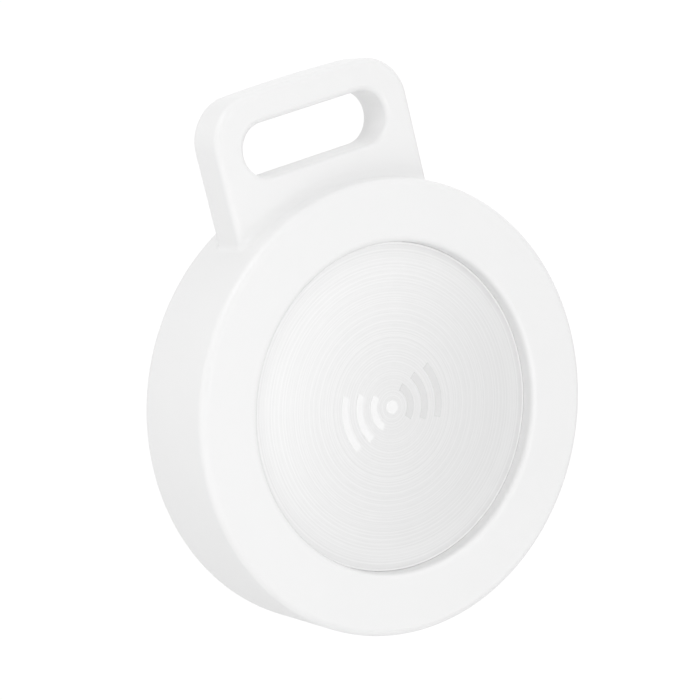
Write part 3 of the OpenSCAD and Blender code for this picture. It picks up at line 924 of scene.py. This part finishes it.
# ---------------------------------------------------------------- coin cell
def make_cell():
    """Can, cap, seal ring and the cross on the positive face of the coin cell."""
    pos_z, neg_z, r = -3.15, 0.05, 10.0
    can = Shell()
    lip_z = neg_z - 0.15
    sec = chain(
        line((0, pos_z), (8.7, pos_z), 5),
        arc(8.7, pos_z + 0.02, 0.02, -90, -20, 2),
        arc(8.86, pos_z, 0.02, 160, 90, 2),
        line((8.9, pos_z + 0.02), (r - 0.32, pos_z), 1),
        arc(r - 0.32, pos_z + 0.32, 0.32, -90, 0, 7),
        line((r, pos_z + 0.32), (r, lip_z - 0.3), 4),
        arc(r - 0.3, lip_z - 0.3, 0.3, 0, 90, 6),
        line((r - 0.3, lip_z), (r - 0.84, lip_z), 1),
        arc(r - 0.84, lip_z - 0.06, 0.06, 90, 180, 3),
        [(r - 0.9, lip_z - 0.25), (r - 0.25, lip_z - 0.25)],
        line((r - 0.25, lip_z - 0.25), (r - 0.25, pos_z + 0.25), 2),
        line((r - 0.25, pos_z + 0.25), (0, pos_z + 0.25), 2),
    )
    can.ring(sec, closed=False)
    cap = Shell()
    rc = r - 1.1
    rim_z = pos_z + 1.0
    sec = chain(
        line((0, neg_z), (6.9, neg_z), 4),
        arc(6.9, neg_z - 0.04, 0.04, 90, 30, 2),
        [(7.1, neg_z - 0.05)],
        line((7.1, neg_z - 0.05), (rc - 0.3, neg_z - 0.08), 1),
        arc(rc - 0.26, neg_z - 0.34, 0.26, 90, 0, 5),
        line((rc, neg_z - 0.34), (rc, rim_z), 2),
        [(rc - 0.3, rim_z)],
        line((rc - 0.3, rim_z), (rc - 0.3, neg_z - 0.3), 2),
        line((rc - 0.3, neg_z - 0.34), (0, neg_z - 0.34), 2),
    )
    cap.ring(sec, closed=False)
    gas = Shell()
    in_r, mid_r, out_r, e = rc - 0.5, rc, r - 0.25, 0.03
    gas.ring(chain(
        [(in_r, pos_z + 0.25), (out_r, pos_z + 0.25), (out_r, lip_z - 0.25), (mid_r + 0.2, lip_z - 0.25)],
        [(mid_r + 0.2, lip_z - e), (mid_r + 0.2 - e, lip_z), (mid_r + e, lip_z), (mid_r, lip_z - e)],
        [(mid_r, rim_z), (in_r, rim_z)],
    ))
    # Polarity cross pressed up from the positive face
    plus = Shell()
    a, b = 1.5, 0.33
    corner = [(-b, -a), (b, -a), (b, -b)]
    outline = np.concatenate([spin_pts(corner, turn) for turn in (0, 90, 180, 270)])
    inset = outline - np.sign(outline) * 0.05
    levels = ((outline, pos_z + 0.02), (outline, pos_z - 0.01), (inset, pos_z - 0.035))
    layers = np.array([[(x, y, z) for x, y in loop] for loop, z in levels])
    plus.grid(layers, wrap_v=True)
    for lay in (layers[0], layers[2]):
        plus.add(lay, [(11, 0, 1, 2), (2, 3, 4, 5), (5, 6, 7, 8), (8, 9, 10, 11), (11, 2, 5, 8)])
    return (can.object("cell_can_shell", [CELL], 40), cap.object("cell_cap_shell", [CELL], 40),
            gas.object("cell_seal_ring", [CELL_SEAL], 40), plus.object("cell_plus_mark", [CELL], 40))


cell_can, cell_cap, cell_gasket, cell_plus = make_cell()
for piece, node_name, slot in ((cell_can, "cell_can", "cell_steel"), (cell_cap, "cell_cap", "cell_steel"),
                               (cell_gasket, "cell_gasket", "cell_seal"), (cell_plus, None, "cell_steel")):
    if node_name:
        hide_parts(node_name)
    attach(piece, "coin_cell")


# ---------------------------------------------------------------- battery tray and contacts
def reach(direction, outline, centre):
    """How far a ray from centre in this direction goes before it meets the outline."""
    best = 9.0
    for (ax, ay), (bx, by) in zip(outline, outline[1:] + outline[:1]):
        ex, ey = bx - ax, by - ay
        den = direction[1] * ex - direction[0] * ey
        if abs(den) < 1e-9:
            continue
        rx, ry = ax - centre[0], ay - centre[1]
        ray = (ry * ex - rx * ey) / den
        side = (direction[0] * ry - direction[1] * rx) / den
        if ray > 0 and -1e-6 <= side <= 1 + 1e-6:
            best = min(best, ray)
    return best


def make_tray():
    """Wall round the cell, open for the side spring and cut low at two finger gaps, with three screw lugs."""
    s = Shell()
    r0, r1, top, low = 10.2, 10.9, 0.5, -2.9
    window_at = 210
    half_win = math.degrees(math.asin(1.9 / 10.55))
    start, stop = window_at + half_win, window_at + 360 - half_win
    cols = set(np.linspace(start, stop, 150))
    for c in (90, 330, 450):
        for d in (12.2, 12.8, 13.4, 14.0, 14.6):
            cols |= {c - d, c + d}
    grid = []
    for t in sorted(c for c in cols if start - 1e-9 <= c <= stop + 1e-9):
        k = np.clip((14.6 - clear_of(t, (90, 330))) / 2.2, 0, 1)
        z = low + 1.2 * k * k * (3 - 2 * k)
        section = [(r0, top), (r0, z + 0.25), (r0 + 0.04, z + 0.12), (r0 + 0.2, z), (r1 - 0.12, z),
                   (r1, z + 0.12), (r1, top)]
        grid.append([polar(r, t) + (height,) for r, height in section])
    s.sweep(grid)
    # Screw lugs: rounded tongues, each a ring of faces between its hole and its outline
    lug_r, hole_r, root = 1.25, 0.76, 10.5
    lug_top, lug_low, bevel = 0.5, -0.1, 0.08
    outline = [(root, -lug_r)] + arc(BOSS_RING, 0, lug_r, -90, 90, 16) + [(root, lug_r)]
    rays = [polar(1.0, a) for a in np.linspace(-180, 180, 37)[:-1]]
    hole = [(BOSS_RING + hole_r * x, hole_r * y) for x, y in rays]
    edge = []
    for ray in rays:
        far = reach(ray, outline, (BOSS_RING, 0))
        edge.append((BOSS_RING + ray[0] * far, ray[1] * far))
    inset = [(BOSS_RING + (x - BOSS_RING) * 0.95, y * 0.95) for x, y in edge]
    levels = ((hole, lug_top), (edge, lug_top), (edge, lug_low + bevel), (inset, lug_low), (hole, lug_low))
    layers = np.array([[(x, y, z) for x, y in loop] for loop, z in levels])
    for b in BOSSES:
        s.grid(spin_pts(layers, b), wrap_u=True, wrap_v=True)
    return s.object("battery_tray_moulding", [TRAY], 34)


def ribbon(path, thick, name, mat, angle, taper):
    """A sprung strip along a smooth path in the (u, z) plane, turned about the puck axis."""
    p = smooth(path)
    across = np.interp(np.linspace(0, 1, len(p)), *taper) / 2
    s = Shell()
    c = 0.03
    grid = []
    for (u, z), n, half in zip(p, normals(p) * thick / 2, across):
        edge = [(u + n[0] * k, y, z + n[1] * k) for k, y in (
            (0.5, -half), (1, c - half), (1, half - c), (0.5, half),
            (-0.5, half), (-1, half - c), (-1, c - half), (-0.5, -half))]
        grid.append(edge)
    s.sweep(spin_pts(grid, angle))
    return s.object(name, [mat], 40)


tray = make_tray()
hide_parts("battery_tray")
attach(tray, "housing")

side_path = [(13.1, 0.44), (11.6, 0.44), (11.02, 0.44), (10.98, 0.1), (10.75, -0.8), (10.06, -1.55),
             (10.06, -1.95), (10.5, -2.56)]
side_taper = ([0, 0.45, 0.55, 0.9, 1], [3.0, 3.0, 2.6, 2.2, 1.6])
side_spring = ribbon(side_path, 0.12, "side_contact_spring", GOLD, 210, side_taper)
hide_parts("positive_contact")
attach(side_spring, "housing")


def make_leaves():
    """Leaf contact: a base strip with four fingers arched onto the cell."""
    s = Shell()
    s.slab(box_pts(2.4, 5.6, cut=0.05), BOARD_BACK, BOARD_BACK - 0.12, 0.02)
    path = smooth([(0.9, 0.44), (1.5, 0.44), (3.0, 0.22), (4.2, 0.1), (5.0, 0.13), (5.5, 0.28)])
    half_t = normals(path) * 0.05
    half_w = np.interp(np.linspace(0, 1, len(path)), [0, 0.7, 1], [0.8, 0.6, 0.35])
    corners = ((-1, 1), (1, 1), (1, -1), (-1, -1))
    for turn in (0, 180):
        for y0 in (-1.8, 1.8):
            g = [[(u + n[0] * up, y0 + w * across, z + n[1] * up) for across, up in corners]
                 for (u, z), n, w in zip(path, half_t, half_w)]
            s.sweep(spin_pts(g, turn))
    return s.object("leaf_contact", [GOLD], 40)


leaves = make_leaves()
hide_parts("negative_contact")
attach(leaves, "housing")


# ---------------------------------------------------------------- board parts
def two_terminals(name, spots, mats, z0=BOARD_FRONT, up=1):
    """Ceramic bodies with wrapped tinned ends, one object for the set."""
    s = Shell()
    for x, y, turn, length, wid, tall in spots:
        body = box_pts(length * 0.62, wid * 0.96, x, y, turn)
        s.slab(body, z0 + up * 0.01, z0 + up * tall * 0.98, 0.02, 0)
        for side in (-1, 1):
            cx, cy = polar(side * length * 0.4, turn, x, y)
            end = box_pts(length * 0.2, wid, cx, cy, turn, 0.03)
            s.slab(end, z0, z0 + up * tall, 0.03, 1)
    return s.object(name, mats, 40)


small_caps = ((-8.6, 0.2, 90), (-7.2, -1.6, 0), (-5.2, -1.6, 0), (-3.2, -1.6, 0),
              (-1.2, 6.4, 90), (0.4, 6.4, 90), (4, 7.6, 0), (7.4, 2.2, 90))
caps_spots = [spot + (1, 0.5, 0.5) for spot in small_caps] + [(3.2, -7.4, 0, 3.2, 2.5, 0.85)]
res_spots = [spot + (1, 0.5, 0.35) for spot in (
    (7.6, 6, 0), (7.6, 7.2, 0), (8.6, -1, 90), (-4, -4.4, 0), (-6, -4.4, 0), (-1.6, -7, 90))]
caps = two_terminals("capacitor_set", caps_spots, [CERAMIC_TAN, TIN])
ress = two_terminals("resistor_set", res_spots, [CERAMIC_BLACK, TIN])
aerial = two_terminals("antenna_block", [(0, 13.1, 0, 5.2, 2.0, 1.1)], [CERAMIC_WHITE, TIN], BOARD_BACK, -1)
for piece, node_name, slot in ((caps, "capacitors", "capacitor_ceramic"),
                               (ress, "resistors", "resistor_ceramic"),
                               (aerial, "chip_antenna", "antenna_ceramic")):
    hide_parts(node_name)
    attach(piece, "housing")


def make_copper():
    """Plated pads, test points, ground ring and masked tracks, standing a few hundredths off the board."""
    s = Shell()
    back, front = BOARD_BACK, BOARD_FRONT

    def dot(r, degrees, size, thick):
        s.slab(circle(size, 24, *polar(r, degrees)), back, back - thick, 0.01)

    for degrees in (42, 50, 58, 66, 114, 122):
        dot(12.9, degrees, 0.5, 0.03)
    for degrees in np.arange(0, 360, 7.5):
        if clear_of(degrees, (30, 90, 150, 210, 270, 330)) > 8:
            dot(14.9, degrees, 0.2, 0.02)
    for r, spans in ((11.5, ((40, 136), (164, 196), (224, 258), (284, 318))),
                     (12.05, ((232, 262), (282, 316))),
                     (13.9, ((42, 70), (232, 252)))):
        for a0, a1 in spans:
            stroke(arc(0, 0, r, a0, a1, 40), 0.22, back, back - 0.018, 1, s)
    # Pad under the side contact
    s.slab(spin_pts(box_pts(1.7, 3.4, 12.35, 0), 210), back, back - 0.03, 0.01)
    # Front pads round the chips: centre, size, pitch and number on each side
    long, wide, clear = 0.36, 0.24, 0.12
    for cx, cy, w, h, pitch, m in (
            (-5.2, 2.4, 5, 5, 0.5, 8), (5.6, 4.6, 2, 2, 0.5, 3), (5.8, -3.6, 3, 2, 0.6, 4)):
        for k in range(m):
            o = (k - (m - 1) / 2) * pitch
            for side in (1, -1):
                s.slab(box_pts(long, wide, cx + side * (w / 2 + clear), cy + o), front, front + 0.03, 0.01)
            for side in (1, -1):
                s.slab(box_pts(wide, long, cx + o, cy + side * (h / 2 + clear)), front, front + 0.03, 0.01)
    return s.object("board_copper", [GOLD, TRACK], 40)


copper = make_copper()
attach(copper, "housing")


def make_switch_dome():
    """Snap dome of the switch: a thin shallow cap that flattens when the stem comes down; here it stays in
    its rest shape.
    """
    s = Shell()
    foot, rise, half, thick = DOME_FOOT, 0.30, 1.3, 0.05
    radius = (half * half + rise * rise) / (2 * rise)
    centre = foot + rise - radius

    def cap(r):
        a = math.degrees(math.acos((foot - centre) / r))
        return arc(0, centre, r, 90, 90 - a, 12)

    outer, inner = cap(radius), cap(radius - thick)
    s.ring(chain(outer, inner[::-1]), 96, closed=False)
    return s.object("switch_snap_dome", [STEEL], 40)


dome = make_switch_dome()
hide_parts("switch_dome")
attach(dome, "housing")
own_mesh(dome)


# CAD solids whose shape is right keep it and take a finish
FINISHES = (
    (BOARD, ("circuit_board",)),
    (CHIP, ("radio_chip", "motion_sensor", "flash_chip", "inductor", "switch_base", "switch_stem",
            "buzzer_case")),
    (PLATED, ("main_crystal", "clock_crystal")),
    (STEEL, ("switch_frame", "buzzer_membrane")),
    (GOLD, ("buzzer_terminals",)),
    (FILM, ("board_film",)),
    (SCREW, ("tray_screws",)),
    (POWDER, ("cell_cathode",)),
    (PAPER, ("cell_separator",)),
    (FOIL, ("cell_anode",)),
)
for finish, node_names in FINISHES:
    for node_name in node_names:
        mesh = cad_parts[node_name].data
        mesh.materials.clear()
        mesh.materials.append(finish)


# ---------------------------------------------------------------- camera, light, floor
def camera():
    """The camera as the photo's outlines place it: where it stands in metres, its aim and its roll."""
    place = Vector((-0.095704, -0.155472, 0.025146))
    aim = Vector((0.507973, 0.830651, -0.227997))
    roll = math.radians(-13.5588)
    cam = bpy.data.cameras.new("camera")
    cam.sensor_width = 36
    cam.lens = 121.742
    cam.clip_start = 0.005
    cam.clip_end = 20
    ob = add_object("camera", cam)
    level = aim.to_track_quat("-Z", "Y").to_matrix().to_4x4()
    ob.matrix_world = Matrix.Translation(place) @ level @ Matrix.Rotation(roll, 4, "Z")
    bpy.context.scene.camera = ob


def card(name, where, size, watts):
    """A soft square light aimed at the tag, unseen by the camera."""
    li = bpy.data.lights.new(name, "AREA")
    li.size = size
    li.energy = watts
    ob = add_object(name, li)
    ob.location = where
    toward = Vector((0, 0, -0.02)) - Vector(where)
    ob.rotation_euler = toward.to_track_quat("-Z", "Y").to_euler()
    ob.visible_camera = False


def studio(base, lobes, backdrop):
    """A plain white tent: an even base plus soft lobes, each (direction, sharpness, strength)."""
    world = bpy.data.worlds.new("studio")
    world.use_nodes = True
    tree = Tree(world.node_tree)
    facing = tree.new("ShaderNodeTexCoord").outputs["Generated"]
    total = base
    for direction, sharpness, strength in lobes:
        dot = tree.new("ShaderNodeVectorMath")
        dot.operation = "DOT_PRODUCT"
        tree.feed(dot.inputs[0], facing)
        dot.inputs[1].default_value = Vector(direction).normalized()
        lit = tree.math("MAXIMUM", dot.outputs["Value"], 0.0)
        total = tree.math("MULTIPLY_ADD", tree.math("POWER", lit, sharpness), strength, total)
    light = tree.new("ShaderNodeBackground", Color=grey(1.0), Strength=total)
    seen = tree.new("ShaderNodeBackground", Color=grey(1.0), Strength=backdrop)
    tree.by_ray(light.outputs[0], seen.outputs[0], world.node_tree.nodes["World Output"].inputs[0])
    bpy.context.scene.world = world


def white_floor(seen):
    """Plain pale floor, well below the tag; the camera sees it burnt out to the backdrop's white."""
    half, z = 6, -0.085
    me = bpy.data.meshes.new("floor")
    corners = [(-half, -half, z), (half, -half, z), (half, half, z), (-half, half, z)]
    me.from_pydata(corners, [], [(0, 1, 2, 3)])
    ob = add_object("floor", me)
    n = Nodes("floor_white")
    n.put("Base Color", n.mix(n.noise(0.01, 2.0), grey(0.78), grey(0.79)))
    n.put("Roughness", 0.9)
    n.put("Specular IOR Level", 0.0)
    glow = n.new("ShaderNodeEmission", Strength=seen)
    n.by_ray(n.bsdf.outputs[0], glow.outputs[0], n.out.inputs[0])
    me.materials.append(n.mat)


camera()
bpy.context.scene.view_settings.view_transform = "Standard"
# The backdrop and the floor as the camera sees them, a little past white
WHITE_OUT = 1.03
LEFT, RIGHT, BACK, UP = (-1, 0, 0), (1, 0, 0), (0, 1, 0), (0, 0, 1)
studio(0.185, ((LEFT, 1, 0.41), (RIGHT, 1, 0.97), (BACK, 1, 0.28), (UP, 1, 0.48),
               ((-0.6, 0.6, 0.5), 6, 0.30), ((-1, -0.3, 0.1), 6, 0.50)), WHITE_OUT)
white_floor(WHITE_OUT)
# Cards: place, size of a side in metres, watts
card("card_top_left", (-0.06, -0.07, 0.12), 0.08, 0.0484)
card("card_left", (-0.14, -0.09, -0.05), 0.07, 0.0318)
card("card_low_left", (-0.05, -0.17, -0.065), 0.07, 0.0208)
card("card_front", (0.01, -0.15, -0.03), 0.07, 0.0199)
card("card_low_front", (0.03, -0.15, -0.05), 0.06, 0.0036)
card("card_low_right", (0.06, -0.15, -0.04), 0.07, 0.0025)
card("card_right", (0.09, -0.13, 0.0), 0.07, 0.0117)

bpy.context.view_layer.update()
